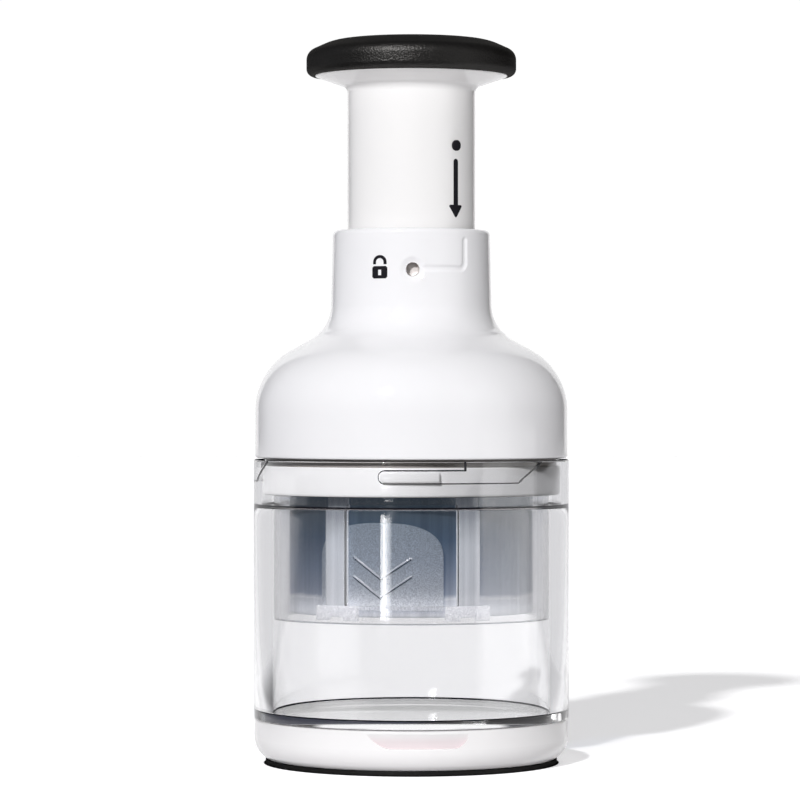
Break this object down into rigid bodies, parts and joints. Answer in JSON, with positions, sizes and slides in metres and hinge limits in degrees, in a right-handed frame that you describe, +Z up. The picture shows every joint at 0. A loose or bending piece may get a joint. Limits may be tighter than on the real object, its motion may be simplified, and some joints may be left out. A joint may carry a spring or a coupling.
{
  "type": "plunger food chopper",
  "caption": "Hand plunger chopper with a round palm knob, bottle-shaped housing, zigzag blade in a smoke cover, clear bayonet cup and white pull-off base.",
  "frame": {"origin": "centre of the underside of the foot ring", "axes": "+Z up along the plunger axis, -Y the front with the lock window, +X the right side"},
  "size_m": [0.0984, 0.0984, 0.2263],
  "materials": {
    "white_gloss": "glossy",
    "black_soft": "matt, fine grained",
    "black_mark": "matt",
    "clear": "clear, polished",
    "frosted_clear": "clear, slightly hazy",
    "smoke": "translucent smoke grey",
    "blade_steel": "brushed",
    "spindle_steel": "turned",
    "zinc_steel": "plated",
    "acetal": "satin",
    "grey_plastic": "satin",
    "seal": "matt"
  },
  "bodies": {
    "housing": {"housing_shell": "white_gloss", "lock_symbol": "black_mark", "collar_bush": "acetal", "rest_bumper": "seal", "mechanism_plate": "grey_plastic", "plate_screws": "zinc_steel", "guide_column": "acetal", "ratchet_ring": "acetal", "helix_nut": "acetal", "wave_spring": "zinc_steel", "nut_cap": "grey_plastic", "lock_ring": "acetal", "stop_bumper": "seal", "return_spring": "spindle_steel", "clear_skirt": "frosted_clear"},
    "carrier": {"carriage": "acetal", "thrust_washer": "seal", "retaining_clip": "zinc_steel"},
    "plunger": {"plunger_tube": "white_gloss", "position_dot": "black_mark", "travel_arrow": "black_mark", "knob_core": "grey_plastic", "knob_screws": "zinc_steel", "knob_grip": "black_soft"},
    "blade": {"blade_spindle": "spindle_steel", "spindle_clip": "zinc_steel", "zigzag_blade": "blade_steel", "blade_hub": "grey_plastic", "hub_screw": "zinc_steel"},
    "cover": {"blade_cover": "smoke"},
    "cup": {"cup": "clear", "base_gasket": "seal"},
    "base": {"base_lid": "white_gloss", "foot_ring": "black_soft"}
  },
  "joints": [
    {"name": "plunger_press", "type": "slide", "parent": "housing", "child": "carrier", "axis": [0, 0, -1], "range_m": [0, 0.0383], "stiffness_N_per_m": 300, "springref_m": -0.02, "deforming": ["return_spring"]},
    {"name": "lock_turn", "type": "hinge", "parent": "carrier", "child": "plunger", "pos_m": [0, 0, 0.2], "axis": [0, 0, -1], "range_deg": [0, 43.5]},
    {"name": "blade_turn", "type": "hinge", "parent": "carrier", "child": "blade", "pos_m": [0, 0, 0.1], "axis": [0, 0, 1], "range_deg": [0, 60.01]},
    {"name": "cover_turn", "type": "hinge", "parent": "housing", "child": "cover", "pos_m": [0, 0, 0.07], "axis": [0, 0, 1], "range_deg": [0, 60.01]},
    {"name": "cup_turn", "type": "hinge", "parent": "housing", "child": "cup", "pos_m": [0, 0, 0.05], "axis": [0, 0, -1], "range_deg": [0, 31.5]},
    {"name": "base_lid_pull", "type": "slide", "parent": "cup", "child": "base", "axis": [0, 0, -1], "range_m": [0, 0.012]}
  ],
  "couplings": [
    {"joint": "blade_turn", "follows": "plunger_press", "rad_per_m": 27.342},
    {"joint": "cover_turn", "follows": "plunger_press", "rad_per_m": 27.342}
  ]
}
